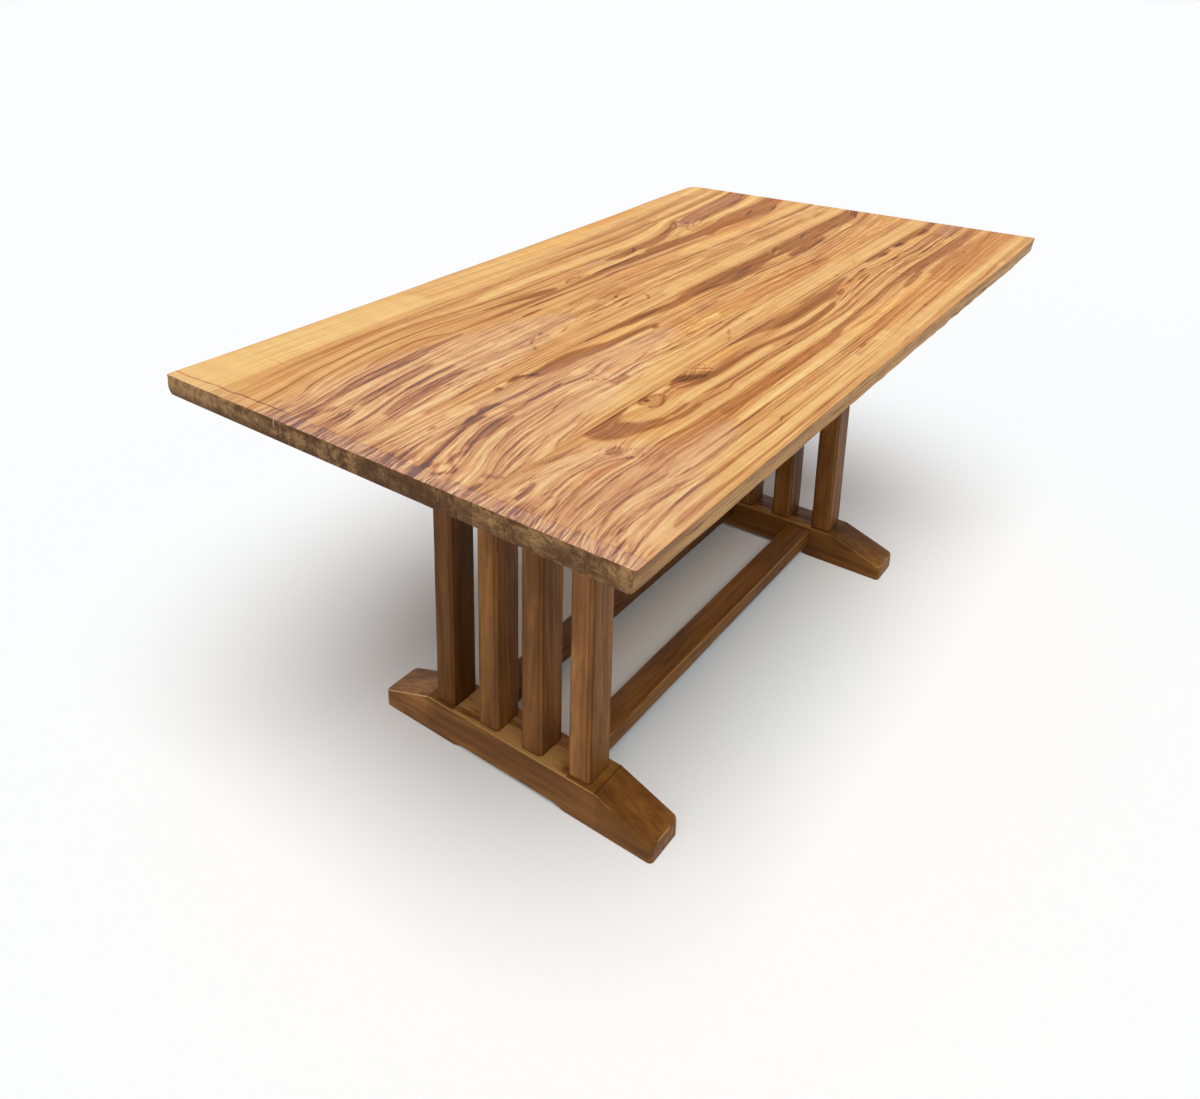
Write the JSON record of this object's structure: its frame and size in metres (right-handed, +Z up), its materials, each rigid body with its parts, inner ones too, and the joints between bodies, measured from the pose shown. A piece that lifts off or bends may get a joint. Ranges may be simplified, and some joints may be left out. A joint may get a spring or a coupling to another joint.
{
  "type": "trestle dining table",
  "caption": "Trestle dining table: edge-glued plank top with natural long edges, rows of upright posts on sloping-ended feet, and low stretchers from foot to foot.",
  "frame": {"origin": "on the floor, under the middle of the top", "axes": "+X along the table from the near trestle to the far trestle, +Y across it towards the widest board, +Z up"},
  "size_m": [1.71, 0.8932, 0.76],
  "materials": {
    "top_wood": "oiled, honey brown with dark figure and pale sapwood",
    "base_wood": "dark stain, worn lighter on the arrises",
    "tongue_wood": "plain unfinished plywood",
    "screw_steel": "zinc plated"
  },
  "bodies": {
    "root": {"left_board": "top_wood", "middle_board": "top_wood", "right_board": "top_wood", "left_seam_tongues": "tongue_wood", "right_seam_tongues": "tongue_wood", "near_foot": "base_wood", "far_foot": "base_wood", "near_post_1": "base_wood", "near_post_2": "base_wood", "near_post_3": "base_wood", "near_post_4": "base_wood", "far_post_1": "base_wood", "far_post_2": "base_wood", "far_post_3": "base_wood", "far_post_4": "base_wood", "near_bearer": "base_wood", "far_bearer": "base_wood", "left_stretcher": "base_wood", "right_stretcher": "base_wood", "near_bearer_screws": "screw_steel", "far_bearer_screws": "screw_steel", "near_bearer_washers": "screw_steel", "far_bearer_washers": "screw_steel"}
  },
  "joints": []
}
